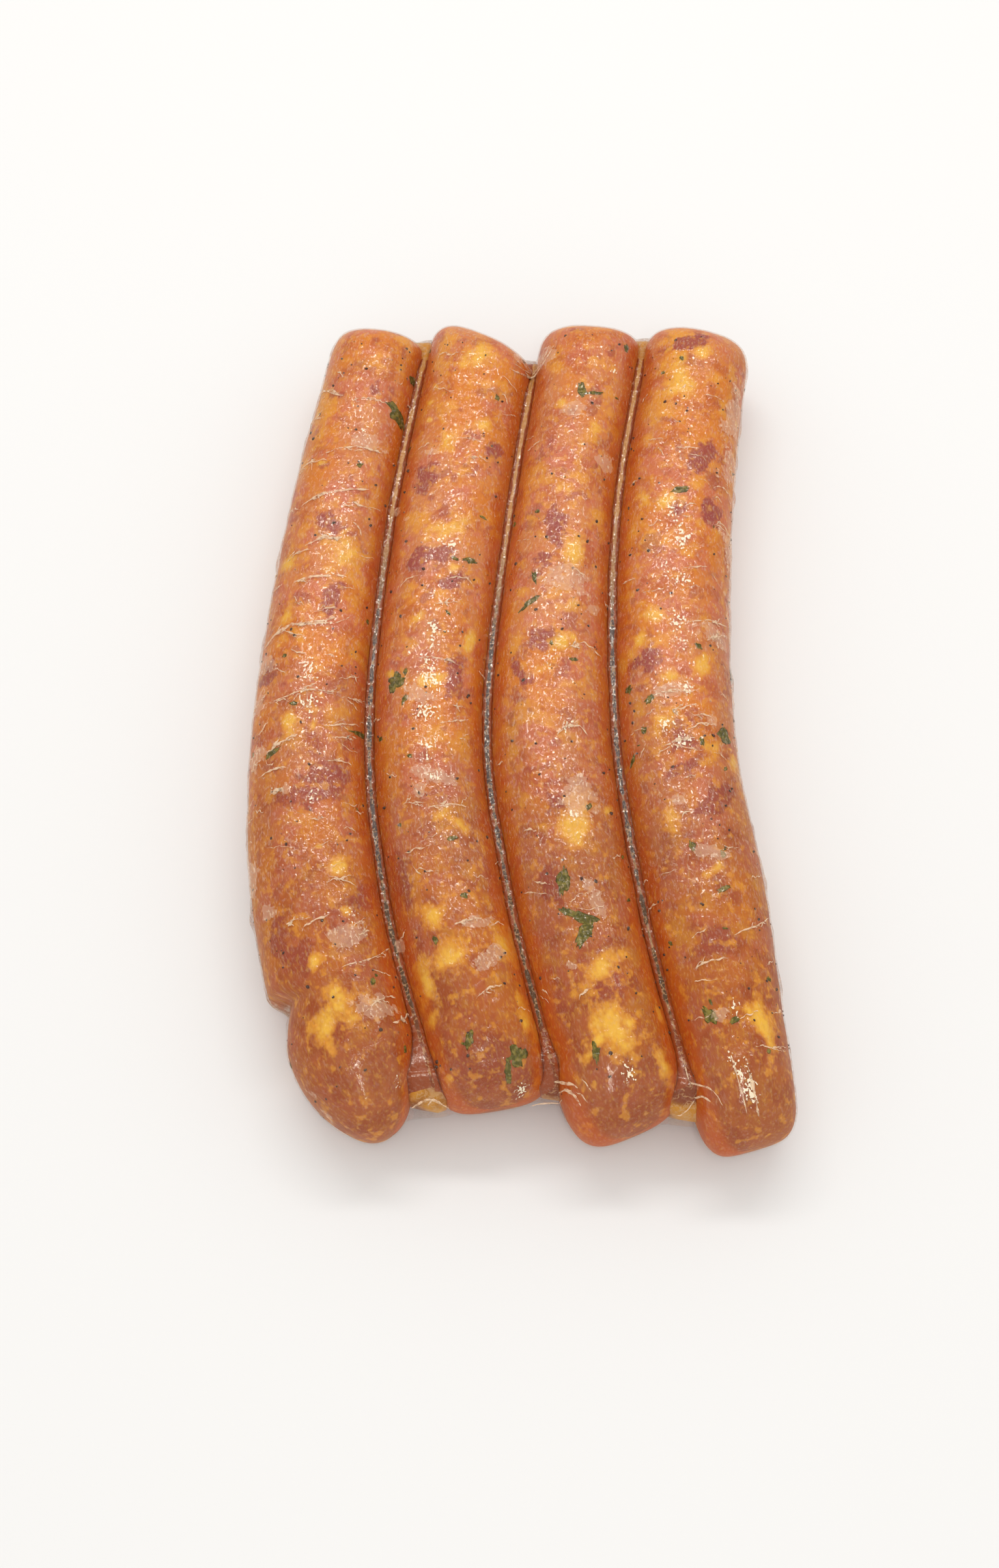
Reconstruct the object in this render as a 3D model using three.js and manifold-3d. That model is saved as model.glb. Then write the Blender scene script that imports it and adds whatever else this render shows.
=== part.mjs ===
// A vacuum pack of four raw sausages lying side by side, in millimetres, with +Z up.
// X runs across the pack and Y along the sausages, from their near ends to their far ends.
// The origin is on the table, under the middle of the pack.
// The pack is one solid: clear film clings to the sausages, dips into the valleys between them
// and is drawn tight from end to end of neighbouring sausages.
import * as THREE from "three";
import { mergeVertices } from "three/addons/utils/BufferGeometryUtils.js";
import Module from "manifold-3d";

// Section of a sausage: a rounded square that the table presses flat underneath.
const AXIS_HEIGHT = 12; // height of a sausage's middle above the table
const HALF_HEIGHT = 13; // from the middle to the crown; the part below the table is pressed flat
const SECTION_POWER = 2.3; // 2 is an ellipse and more is squarer
const END_SLOPE_POWER = 2.2; // the same for an end seen from the side
const GIRTH_CHANGE = 0.02; // share by which the crown rises and falls along a sausage
const GIRTH_WAVE = 95; // length of that rise and fall
const BITE = 0.15; // how far neighbours are pressed into each other

// Where the sausages meet. The five lines are the left side of the pack, its three valleys
// and its right side, and each has its X at these stations along Y.
const STATION_Y = [-104, -84, -50, -10, 45, 104];
const LINE_X = [
  [-31.5, -46.0, -56.0, -58.0, -53.0, -42.5],
  [-13.0, -18.0, -27.0, -31.5, -28.0, -19.0],
  [13.0, 7.5, -0.5, -5.5, -0.5, 8.0],
  [39.5, 34.5, 27.5, 23.0, 24.5, 34.0],
  [60.0, 57.5, 55.0, 50.0, 52.0, 60.0],
];

// Ends of each sausage: the Y of its tip, the length of its rounded end, how blunt that end is
// seen from above, and how far its right-hand side falls back behind its left-hand side.
const SAUSAGES = [
  {
    near: { tip: -99.5, round: 20, blunt: 2.3, skew: 2 },
    far: { tip: 100.5, round: 11, blunt: 4.0, skew: 0 },
  },
  {
    near: { tip: -94.0, round: 14, blunt: 4.0, skew: -1 },
    far: { tip: 99.5, round: 12, blunt: 3.2, skew: 6 },
  },
  {
    near: { tip: -99.5, round: 17, blunt: 3.4, skew: 2 },
    far: { tip: 102.0, round: 12, blunt: 4.5, skew: -1 },
  },
  {
    near: { tip: -102.5, round: 18, blunt: 4.5, skew: 1 },
    far: { tip: 101.0, round: 13, blunt: 4.0, skew: 1 },
  },
];

// Film in the valleys, and the film drawn tight between two ends.
const WEB_WIDTH = 2.4;
const WEB_HEIGHT = 9.2;
const BRIDGE_REACH = 9; // how far a bridge runs into the sausage on each side
const BRIDGE_DEPTH = 13; // how far it runs back from its free edge
const BRIDGE_SETBACK = 3; // from the tip of a sausage back to the free edge beside it
const BRIDGE_EDGE_HEIGHT = 6;
const BRIDGES = [
  { near: -95.5, far: 101.0 },
  { near: -93.0, far: 94.5 },
  { near: -97.5, far: 101.5 },
];

// A fold that nips the side of the left-hand sausage near its end, as corners of the cut.
const NIP = [
  [-56, -70],
  [-46.5, -72.5],
  [-47.5, -82],
  [-56, -82],
];

// Fineness of the faceted solid.
const SIDES = 24;
const ROWS = 28;
const END_ROWS = 6;
const END_ROW_POWER = 3; // draws the rows of an end together towards its tip
const WEB_ROWS = 30;

const wasm = await Module();
wasm.setup();

// Value at y of a smooth curve through the stations, with each slope taken from the neighbours.
function smooth(values, y) {
  const last = STATION_Y.length - 1;
  let i = 0;
  while (i < last - 1 && y > STATION_Y[i + 1]) i += 1;
  const slope = (k) => {
    const a = Math.max(k - 1, 0);
    const b = Math.min(k + 1, last);
    return (values[b] - values[a]) / (STATION_Y[b] - STATION_Y[a]);
  };
  const span = STATION_Y[i + 1] - STATION_Y[i];
  const t = (y - STATION_Y[i]) / span;
  const start = (1 + 2 * t) * (1 - t) ** 2 * values[i] + t * (1 - t) ** 2 * span * slope(i);
  const end = t * t * (3 - 2 * t) * values[i + 1] + t * t * (t - 1) * span * slope(i + 1);
  return start + end;
}

// Moves every vertex of a geometry to where the rule puts it.
function bend(geometry, rule) {
  const place = geometry.getAttribute("position");
  const v = new THREE.Vector3();
  for (let i = 0; i < place.count; i += 1) {
    v.fromBufferAttribute(place, i);
    rule(v);
    place.setXYZ(i, v.x, v.y, v.z);
  }
  return geometry;
}

function toSolid(geometry) {
  geometry.deleteAttribute("normal");
  geometry.deleteAttribute("uv");
  const merged = mergeVertices(geometry, 1e-4);
  return new wasm.Manifold(
    new wasm.Mesh({
      numProp: 3,
      vertProperties: new Float32Array(merged.attributes.position.array),
      triVerts: new Uint32Array(merged.index.array),
    }),
  );
}

function toGeometry(solid) {
  const mesh = solid.getMesh();
  const geometry = new THREE.BufferGeometry();
  geometry.setAttribute("position", new THREE.BufferAttribute(mesh.vertProperties, 3));
  geometry.setIndex(new THREE.BufferAttribute(mesh.triVerts, 1));
  geometry.computeVertexNormals();
  return geometry;
}

const rounded = (share, power) => Math.sign(share) * Math.abs(share) ** (2 / power);
const taper = (share, power) => Math.max(1 - share ** power, 0) ** (1 / power);

// One sausage: a unit capsule, squared off and laid between its two lines.
function sausage(index) {
  const { near, far } = SAUSAGES[index];
  const left = (y) => smooth(LINE_X[index], y);
  const right = (y) => smooth(LINE_X[index + 1], y);
  const middle = (y) => (left(y) + right(y)) / 2;
  const bodyFrom = near.tip + near.round;
  const bodyTo = far.tip - far.round;
  return bend(new THREE.CapsuleGeometry(1, 2, END_ROWS, SIDES, ROWS), (v) => {
    const end = v.y < 0 ? near : far;
    const beyond = THREE.MathUtils.clamp(Math.abs(v.y) - 1, 0, 1);
    const girth = Math.sqrt(1 - beyond * beyond);
    const reach = rounded(beyond, END_ROW_POWER);
    const turn = girth > 1e-6 ? 1 / girth : 0;
    const across = rounded(v.x * turn, SECTION_POWER) * taper(reach, end.blunt);
    const upward = rounded(v.z * turn, SECTION_POWER) * taper(reach, END_SLOPE_POWER);
    const share = (THREE.MathUtils.clamp(v.y, -1, 1) + 1) / 2;
    let y = bodyFrom + (bodyTo - bodyFrom) * share;
    if (beyond > 0) y = v.y < 0 ? bodyFrom - near.round * reach : bodyTo + far.round * reach;
    const lean = Math.atan(middle(y + 0.5) - middle(y - 0.5));
    const half = ((right(y) - left(y)) / 2 + BITE) * Math.cos(lean);
    const crown = 1 - GIRTH_CHANGE * Math.sin((2 * Math.PI * y) / GIRTH_WAVE + index) ** 2;
    const fallBack = v.y < 0 ? end.skew : -end.skew;
    v.x = middle(y) + across * half * Math.cos(lean);
    v.z = Math.max(0, AXIS_HEIGHT + upward * HALF_HEIGHT * crown);
    v.y = y - across * half * Math.sin(lean) + across * reach * fallBack;
  });
}

// The film that fills the valley between two sausages.
function web(index) {
  const { near, far } = BRIDGES[index];
  const length = far - near - BRIDGE_DEPTH;
  const strip = new THREE.BoxGeometry(WEB_WIDTH, length, WEB_HEIGHT, 1, WEB_ROWS, 1);
  return bend(strip, (v) => {
    v.y += (near + far) / 2;
    v.x += smooth(LINE_X[index + 1], v.y);
    v.z += AXIS_HEIGHT;
  });
}

// A bridge of film between the ends of two sausages. It is hollowed along its free edge and
// thins down towards it.
function bridge(index, end) {
  const outward = end === "far" ? 1 : -1;
  const notch = BRIDGES[index][end];
  const x = smooth(LINE_X[index + 1], notch);
  const tips = [SAUSAGES[index][end].tip, SAUSAGES[index + 1][end].tip];
  const edge = tips.map((tip) => tip - outward * BRIDGE_SETBACK);
  const back = notch - outward * BRIDGE_DEPTH;
  const outline = new THREE.Shape();
  outline.moveTo(x - BRIDGE_REACH, back);
  outline.lineTo(x - BRIDGE_REACH, edge[0]);
  outline.quadraticCurveTo(x - BRIDGE_REACH / 3, notch, x, notch);
  outline.quadraticCurveTo(x + BRIDGE_REACH / 3, notch, x + BRIDGE_REACH, edge[1]);
  outline.lineTo(x + BRIDGE_REACH, back);
  outline.closePath();
  const plate = new THREE.ExtrudeGeometry(outline, {
    depth: 1,
    bevelEnabled: false,
    curveSegments: 5,
  });
  return bend(plate, (v) => {
    const inward = THREE.MathUtils.clamp(outward * (notch - v.y) / BRIDGE_DEPTH, 0, 1);
    const height = THREE.MathUtils.lerp(BRIDGE_EDGE_HEIGHT, WEB_HEIGHT, inward);
    v.z = AXIS_HEIGHT + (v.z - 0.5) * height;
  });
}

// The fold's wedge, which is cut out of the pack from top to bottom.
function nip() {
  const outline = new THREE.Shape(NIP.map(([x, y]) => new THREE.Vector2(x, y)));
  const height = 2 * (AXIS_HEIGHT + HALF_HEIGHT);
  const wedge = new THREE.ExtrudeGeometry(outline, { depth: height, bevelEnabled: false });
  return wedge.translate(0, 0, -height / 4);
}

function pack() {
  let whole = null;
  const join = (geometry) => {
    const solid = toSolid(geometry);
    whole = whole ? whole.add(solid) : solid;
  };
  SAUSAGES.forEach((_, index) => join(sausage(index)));
  BRIDGES.forEach((_, index) => {
    join(web(index));
    join(bridge(index, "near"));
    join(bridge(index, "far"));
  });
  return toGeometry(whole.subtract(toSolid(nip())));
}

// Orange-red meat seen through clear film.
const meatUnderFilm = new THREE.MeshStandardMaterial({
  color: new THREE.Color(0xc4703f),
  roughness: 0.35,
  metalness: 0,
});

const group = new THREE.Group();
const sealedPack = new THREE.Mesh(pack(), meatUnderFilm);
sealedPack.name = "sealed_pack";
group.add(sealedPack);

export default group;
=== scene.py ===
"""Dresses a vacuum pack of raw sausages: meat, herbs, pepper, juice, clear film and its creases."""

import functools
import math
import random
from collections import namedtuple

import bmesh
import bpy
from bpy.props import FloatProperty, FloatVectorProperty, IntProperty, PointerProperty
from bpy.types import Operator, Panel, PropertyGroup
from mathutils import Matrix, Vector, noise


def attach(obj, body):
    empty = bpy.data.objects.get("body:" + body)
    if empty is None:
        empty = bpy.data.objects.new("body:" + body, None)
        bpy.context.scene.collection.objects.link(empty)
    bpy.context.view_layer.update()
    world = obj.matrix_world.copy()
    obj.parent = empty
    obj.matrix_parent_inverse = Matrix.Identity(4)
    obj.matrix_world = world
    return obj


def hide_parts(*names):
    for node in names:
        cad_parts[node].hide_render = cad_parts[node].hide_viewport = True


bl_info = {
    "name": "Vacuum pack of sausages",
    "version": (1, 0, 0),
    "blender": (4, 5, 0),
    "location": "3D View > Sidebar > Sausage pack",
    "description": "Makes the sausages, herbs, juice and clear film of a vacuum pack, and its stage",
    "category": "Object",
}

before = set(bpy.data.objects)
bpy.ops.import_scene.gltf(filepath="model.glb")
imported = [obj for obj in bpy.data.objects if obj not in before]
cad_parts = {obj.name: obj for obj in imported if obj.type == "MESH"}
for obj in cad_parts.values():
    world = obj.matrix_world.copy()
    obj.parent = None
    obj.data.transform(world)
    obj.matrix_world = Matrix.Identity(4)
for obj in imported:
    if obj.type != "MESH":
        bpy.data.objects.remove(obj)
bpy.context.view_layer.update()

PACK_NODE = "sealed_pack"
BODY = "root"
MM = 0.001  # the form below is worked out in millimetres, and meshes are in metres

# Section of a sausage: a rounded square that the table presses flat underneath.
AXIS_HEIGHT = 12.0
HALF_HEIGHT = 13.0
SECTION_POWER = 2.3
END_SLOPE_POWER = 2.2
GIRTH_CHANGE = 0.02
GIRTH_WAVE = 95.0
BITE = 0.15

# The left side of the pack, its three valleys and its right side, each with its X at the stations.
STATION_Y = (-104.0, -84.0, -50.0, -10.0, 45.0, 104.0)
LINE_X = (
    (-31.5, -46.0, -56.0, -58.0, -53.0, -42.5),
    (-13.0, -18.0, -27.0, -31.5, -28.0, -19.0),
    (13.0, 7.5, -0.5, -5.5, -0.5, 8.0),
    (39.5, 34.5, 27.5, 23.0, 24.5, 34.0),
    (60.0, 57.5, 55.0, 50.0, 52.0, 60.0),
)

# Near and far end of each sausage: the Y of its tip, the length of its rounded end, how blunt
# that end is from above, and how far its right-hand side falls back.
End = namedtuple("End", "tip length blunt skew")
SAUSAGES = (
    (End(-99.5, 20.0, 2.3, 2.0), End(100.5, 11.0, 4.0, 0.0)),
    (End(-94.0, 14.0, 4.0, -1.0), End(99.5, 12.0, 3.2, 6.0)),
    (End(-99.5, 17.0, 3.4, 2.0), End(102.0, 12.0, 4.5, -1.0)),
    (End(-102.5, 18.0, 4.5, 1.0), End(101.0, 13.0, 4.0, 1.0)),
)

# Film in the valleys, and the Y of its free edge between neighbouring ends, near and far.
WEB_HALF_HEIGHT = 6.4
EDGE_HALF_HEIGHT = 3.0
EDGE_ROUNDING = 4.0
BRIDGE_REACH = 9.0
BRIDGE_DEPTH = 13.0
BRIDGE_SETBACK = 3.0
BRIDGES = ((-95.5, 101.0), (-93.0, 94.5), (-97.5, 101.5))
VALLEY_FILLET = 1.4
SECTION_STEP = 0.25
LEAST_SQUEEZE = 0.4
CLOSE = 0.02  # near enough where a place is found by trial
PAST_TIP = 1.2  # how far past the tip of an end, in its own lengths, a place is followed
PACK_REACH = 112.0  # Y beyond the tips of all the sausages
JUST_INSIDE = 0.998

# The film between two near ends rises towards the meat: how far, and how far inside its free edge.
NEAR_RISE = 3.0
NEAR_RISE_AT = 7.0
NEAR_RISE_POWER = 1.5

# A fold that nips the left-hand side: where it is deepest, how deep, and how fast it comes and goes.
NIP_Y = -72.8
NIP_DEPTH = 4.4
NIP_RISE = 2.4
NIP_FALL = 11.0
NIP_POWER = 1.4

# Low lumps that the meat pushes up under the film, as wavelength and height.
LUMPS = ((9.0, 0.24), (3.6, 0.09))
LUMPS_APART = 60.0  # so that the lumps of one sausage don't repeat on the next
PATTERN_APART = 100.0  # the same for the patterns of the meat and the film
LEAST_GIRTH = 0.5  # nearer to the axis of a sausage than this, its lumps fade
FILM_LEAST_GIRTH = 3.0

# The photo's camera, which looks along +Y and down.
PHOTO_WIDTH = 1534
PHOTO_HEIGHT = 2408
SENSOR = 36.0
FOCAL_PIXELS = 2930.0
CAMERA_TILT = math.radians(65.0)
CAMERA_DISTANCE = 423.0
LOOK_AT = Vector((-2.7, -20.2, 12.0))
LOOK_TRIALS = 14  # rounds in which the point that a pixel shows is found
FIRST_RISE = 0.8  # its height in the first round, against that of a crown

# Places seen in the photo, as pixels of its frame, with sizes in millimetres. The turn is from
# the line of the sausage towards its right, in degrees.
Spot = namedtuple("Spot", "px py length width turn")
FAT = (
    Spot(534, 846, 9, 6, 20),
    Spot(440, 862, 5, 4, 0),
    Spot(440, 942, 7, 4, 0),
    Spot(567, 997, 6, 4, 10),
    Spot(558, 1016, 5, 3, -30),
    Spot(446, 1102, 7, 5, 0),
    Spot(518, 1331, 5, 4, 40),
    Spot(511, 1559, 13, 8, 60),
    Spot(720, 543, 13, 6, 50),
    Spot(747, 653, 4, 3, 0),
    Spot(688, 674, 6, 4, 10),
    Spot(692, 805, 10, 5, 50),
    Spot(641, 946, 7, 2.5, 35),
    Spot(720, 987, 7, 3.5, 0),
    Spot(663, 1041, 5, 3, 60),
    Spot(708, 1265, 8, 3, -40),
    Spot(662, 1401, 7, 4, 10),
    Spot(686, 1467, 8, 5, 30),
    Spot(781, 1446, 9, 5, 0),
    Spot(655, 1520, 10, 6, 10),
    Spot(812, 1559, 7, 3.6, -12),
    Spot(862, 620, 4, 3, 0),
    Spot(913, 661, 5, 4, 0),
    Spot(859, 747, 5, 4, 20),
    Spot(884, 843, 9, 6, 10),
    Spot(881, 926, 6, 4, 60),
    Spot(862, 984, 4, 3, 0),
    Spot(888, 1258, 12, 5, 15),
    Spot(932, 1481, 10, 5, 50),
    Spot(897, 1524, 7, 4, 0),
    Spot(942, 1583, 13, 5, -15),
    Spot(1023, 1636, 9, 3, -15),
    Spot(1041, 582, 13, 6, 0),
    Spot(1079, 537, 5, 3, 0),
    Spot(1025, 770, 5, 4, 0),
    Spot(990, 767, 5, 3, 0),
    Spot(1005, 942, 4, 4, 0),
    Spot(983, 978, 4, 3, 30),
    Spot(954, 1022, 5, 3, 25),
    Spot(1031, 1038, 6, 3, 80),
    Spot(1076, 1022, 5, 4, 0),
    Spot(1025, 1105, 6, 4, 80),
    Spot(1092, 1147, 5, 4, 0),
    Spot(1128, 1172, 5, 4, 0),
    Spot(1031, 1264, 6, 4, 0),
    Spot(1174, 1566, 13, 5, -8),
)
LEAN = (
    Spot(577, 598, 4, 3, 0),
    Spot(507, 805, 7, 5, 0),
    Spot(408, 1041, 8, 4, 0),
    Spot(510, 911, 7, 4, 0),
    Spot(490, 1200, 12, 8, 60),
    Spot(570, 1373, 8, 5, 20),
    Spot(427, 1446, 8, 5, 0),
    Spot(465, 1474, 7, 5, 0),
    Spot(653, 735, 8, 5, 0),
    Spot(759, 690, 5, 4, 0),
    Spot(663, 849, 9, 5, 60),
    Spot(701, 891, 6, 4, 30),
    Spot(695, 1038, 10, 4, 0),
    Spot(612, 1355, 12, 6, 0),
    Spot(732, 1629, 11, 10, 40),
    Spot(812, 1660, 6, 5, 0),
    Spot(735, 505, 5, 3, 70),
    Spot(852, 811, 8, 5, 0),
    Spot(827, 869, 7, 4, 0),
    Spot(833, 984, 9, 5, 40),
    Spot(798, 1035, 8, 3, -20),
    Spot(859, 1233, 6, 4, 40),
    Spot(841, 1355, 7, 5, 10),
    Spot(862, 1555, 6, 4, 0),
    Spot(945, 1530, 8, 6, 0),
    Spot(1050, 526, 9, 5, 60),
    Spot(1079, 700, 8, 6, 40),
    Spot(1098, 786, 8, 5, 0),
    Spot(1047, 773, 4, 3, 0),
    Spot(990, 1009, 9, 5, 70),
    Spot(1041, 1182, 8, 3, 60),
    Spot(1104, 1226, 9, 6, 50),
    Spot(1104, 1436, 9, 5, 50),
    Spot(1050, 1130, 7, 5, 0),
)
HERBS = (
    Spot(613, 638, 6.4, 3.4, -50),
    Spot(636, 585, 2.6, 1.6, 0),
    Spot(553, 713, 1.8, 1.4, 40),
    Spot(417, 1154, 4.0, 1.1, 60),
    Spot(554, 1127, 3.0, 1.2, 70),
    Spot(605, 1048, 4.4, 4.0, 10),
    Spot(620, 1073, 2.4, 1.2, 20),
    Spot(723, 860, 3.0, 1.5, 75),
    Spot(695, 1287, 2.6, 1.2, 80),
    Spot(667, 1443, 2.2, 1.0, 0),
    Spot(720, 1595, 3.4, 2.0, 20),
    Spot(797, 1620, 4.6, 3.4, 70),
    Spot(781, 1646, 3.8, 1.7, 10),
    Spot(895, 598, 4.2, 1.7, -15),
    Spot(914, 602, 3.6, 1.0, 70),
    Spot(964, 534, 2.0, 1.4, 0),
    Spot(819, 885, 3.6, 1.2, -15),
    Spot(811, 926, 6.0, 1.2, 48),
    Spot(865, 1352, 6.0, 2.0, 12),
    Spot(897, 1408, 5.0, 2.2, -55),
    Spot(897, 1432, 6.4, 2.0, 30),
    Spot(870, 1400, 3.4, 1.2, -50),
    Spot(914, 1615, 3.6, 1.7, 5),
    Spot(1047, 751, 3.0, 1.6, 60),
    Spot(964, 1059, 1.8, 1.6, 0),
    Spot(996, 1073, 2.6, 1.6, 50),
    Spot(988, 1121, 1.6, 1.2, 0),
    Spot(970, 1169, 2.8, 0.8, 25),
    Spot(1114, 1130, 4.6, 2.6, 0),
    Spot(1079, 1138, 1.8, 1.0, 0),
    Spot(1062, 1299, 2.2, 1.3, 0),
    Spot(1111, 1311, 1.6, 1.1, 0),
    Spot(1114, 1364, 2.6, 1.2, 70),
    Spot(1090, 1559, 4.2, 2.2, -30),
    Spot(1128, 1566, 1.8, 1.2, 60),
)
LOOSE_FILM = (
    Spot(567, 679, 4, 8, 0),
    Spot(580, 1545, 5, 8, 20),
    Spot(660, 1188, 4, 6, 20),
    Spot(685, 1196, 2.5, 5, 10),
    Spot(640, 1067, 4, 7, 30),
    Spot(640, 1213, 3, 2, 0),
    Spot(884, 626, 4, 5, 0),
    Spot(932, 712, 4, 4, 0),
    Spot(868, 891, 5, 10, 20),
    Spot(890, 884, 3, 6, 30),
    Spot(897, 1223, 9, 6, 10),
    Spot(921, 1376, 11, 2.4, -10),
    Spot(755, 1470, 3, 8, -25),
    Spot(735, 1415, 2.5, 7, 15),
    Spot(1104, 981, 4, 7, 20),
    Spot(1028, 1059, 3, 7, 0),
    Spot(1097, 1306, 3, 6, 20),
    Spot(1038, 1228, 3, 4, 0),
    Spot(540, 1435, 5, 7, 20),
    Spot(1150, 1000, 5, 4, 0),
    Spot(408, 1022, 5, 4, 0),
    Spot(394, 1085, 6, 4, 0),
    Spot(392, 1165, 5, 3, 0),
    Spot(384, 1350, 8, 3, 0),
    Spot(1128, 640, 14, 4, 0),
    Spot(1126, 730, 10, 4, 0),
    Spot(1122, 850, 12, 4, 0),
    Spot(1203, 1500, 8, 4, 0),
    Spot(806, 556, 5, 4, 0),
    Spot(836, 548, 5, 4, 0),
)

# Where the crown of a sausage gleams through finely wrinkled film.
GLEAMS = (
    Spot(477, 1025, 10, 5, 0),
    Spot(467, 1080, 8, 6, 0),
    Spot(503, 955, 4, 6, 20),
    Spot(485, 1225, 4, 2.5, 0),
    Spot(545, 1405, 5, 4, 0),
    Spot(562, 660, 2.2, 3.2, 0),
    Spot(607, 1663, 2.4, 2.4, 0),
    Spot(695, 835, 5, 8, 0),
    Spot(668, 975, 9, 6, 0),
    Spot(665, 1035, 12, 7, 0),
    Spot(652, 1090, 10, 6, 0),
    Spot(662, 1150, 9, 5, 0),
    Spot(668, 1190, 4, 5, 0),
    Spot(812, 1674, 2.2, 4, 0),
    Spot(835, 1010, 8, 4, 0),
    Spot(880, 1110, 6, 5, 0),
    Spot(882, 1250, 4, 3, 0),
    Spot(882, 690, 2.6, 2.6, 0),
    Spot(945, 567, 3, 2.6, -30),
    Spot(969, 1647, 4.5, 3, 0),
    Spot(1030, 785, 5, 6, 0),
    Spot(1050, 825, 8, 6, 0),
    Spot(1020, 870, 6, 5, 0),
    Spot(1052, 890, 5, 6, 0),
    Spot(1040, 955, 8, 7, 0),
    Spot(1045, 985, 6, 5, 0),
    Spot(1060, 1055, 6, 6, 0),
    Spot(1020, 1112, 7, 5, 0),
    Spot(1045, 1140, 5, 7, 0),
    Spot(1132, 1547, 6, 2.4, -10),
    Spot(1156, 1672, 11, 3.0, -10),
    Spot(1132, 1645, 12, 2.4, -13),
)

# Creases of the film seen in the photo: both ends as pixels, how far the middle bows towards the
# far end, and the width, in millimetres.
Crease = namedtuple("Crease", "px0 py0 px1 py1 bow width")
CREASES = (
    Crease(457, 730, 502, 706, 0.8, 0.9),
    Crease(493, 699, 587, 697, 1.2, 0.8),
    Crease(460, 782, 567, 752, 0.6, 1.0),
    Crease(532, 772, 587, 785, -0.4, 0.9),
    Crease(468, 838, 527, 825, 0.6, 1.2),
    Crease(440, 862, 478, 842, 0.5, 0.9),
    Crease(480, 620, 527, 608, 0.4, 1.2),
    Crease(543, 615, 577, 612, 0.4, 0.7),
    Crease(457, 667, 500, 640, 0.4, 0.6),
    Crease(718, 700, 752, 708, 0.3, 0.6),
    Crease(403, 1002, 520, 958, 0.8, 1.3),
    Crease(450, 895, 533, 887, 0.6, 1.2),
    Crease(477, 940, 523, 935, 0.5, 0.6),
    Crease(460, 1060, 487, 1052, 0.3, 0.8),
    Crease(413, 1082, 520, 1062, 0.5, 0.7),
    Crease(522, 1072, 560, 1080, 0.2, 0.5),
    Crease(497, 1115, 553, 1117, 0.2, 0.6),
    Crease(410, 1157, 457, 1128, 0.4, 1.4),
    Crease(510, 1132, 548, 1135, 0.2, 0.7),
    Crease(397, 1195, 440, 1178, 0.4, 1.0),
    Crease(413, 1223, 435, 1210, 0.2, 1.4),
    Crease(498, 1168, 540, 1175, 0.2, 0.6),
    Crease(475, 1260, 500, 1256, 0.2, 0.7),
    Crease(505, 1345, 548, 1362, 0.3, 0.6),
    Crease(643, 1012, 705, 1020, 0.4, 0.9),
    Crease(675, 1110, 720, 1107, 0.4, 0.8),
    Crease(657, 1240, 717, 1238, 0.2, 0.7),
    Crease(618, 1235, 653, 1233, 0.2, 0.7),
    Crease(665, 928, 703, 926, 0.3, 1.1),
    Crease(690, 1083, 715, 1088, 0.2, 0.5),
    Crease(855, 1127, 903, 1127, 2.0, 0.9),
    Crease(870, 997, 897, 987, 0.2, 0.9),
    Crease(1037, 958, 1117, 963, 0.3, 0.7),
    Crease(1003, 1060, 1070, 1060, -0.5, 0.8),
    Crease(1032, 1092, 1070, 1083, 0.3, 1.1),
    Crease(1020, 1145, 1068, 1132, 0.2, 0.8),
    Crease(1063, 1097, 1097, 1105, 0.3, 0.6),
    Crease(1085, 983, 1117, 977, 0.3, 1.0),
    Crease(1050, 1195, 1070, 1188, 0.2, 0.6),
    Crease(440, 1420, 477, 1410, 0.4, 0.8),
    Crease(523, 1487, 598, 1457, -0.6, 0.9),
    Crease(543, 1440, 567, 1430, 0.2, 0.8),
    Crease(560, 1553, 608, 1533, 0.8, 0.9),
    Crease(603, 1570, 628, 1553, -0.6, 0.8),
    Crease(697, 1420, 740, 1410, 0.2, 1.1),
    Crease(730, 1533, 773, 1512, 0.6, 0.6),
    Crease(1127, 1435, 1180, 1408, -0.4, 0.7),
    Crease(1068, 1487, 1120, 1470, 0.2, 0.7),
    Crease(1160, 1608, 1207, 1607, -0.4, 0.7),
    Crease(1123, 1623, 1147, 1710, 0.3, 0.6),
    Crease(1145, 1625, 1165, 1715, -0.5, 1.3),
)

# Folds that the film is drawn into across the ends of the valleys.
FOLDS = (
    Crease(630, 1702, 690, 1702, 1.2, 1.1),
    Crease(656, 1696, 676, 1694, 0.6, 0.8),
    Crease(850, 1661, 887, 1672, 0.4, 1.4),
    Crease(858, 1678, 892, 1698, 1.0, 1.3),
    Crease(815, 1697, 864, 1688, 0.3, 0.6),
    Crease(884, 1677, 902, 1694, 0.5, 0.5),
    Crease(893, 1658, 908, 1677, 0.2, 0.5),
    Crease(1058, 1662, 1096, 1676, 0.5, 0.9),
    Crease(1066, 1686, 1091, 1692, 0.4, 1.1),
    Crease(1040, 1712, 1068, 1686, -0.8, 0.6),
    Crease(1094, 1675, 1110, 1698, 0.2, 0.4),
    Crease(1050, 1630, 1058, 1660, 0.0, 0.6),
    Crease(782, 565, 851, 531, -2.4, 0.9),
    Crease(790, 560, 845, 533, -1.6, 0.5),
    Crease(806, 572, 824, 572, -0.6, 0.7),
)
FOLD_STANDS = 1.5  # height of such a fold against that of a crease
CREASE_ROUGH = 1.8  # how uneven the width of a crease is
FOLD_ROUGH = 0.7
CREASE_SLIM = 0.55  # the shiny ridge of a crease against the width of its whole mark
FORKS = 2  # short branches of each crease
PATH_STEP = 0.02  # share of a crease over which its direction is taken

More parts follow.
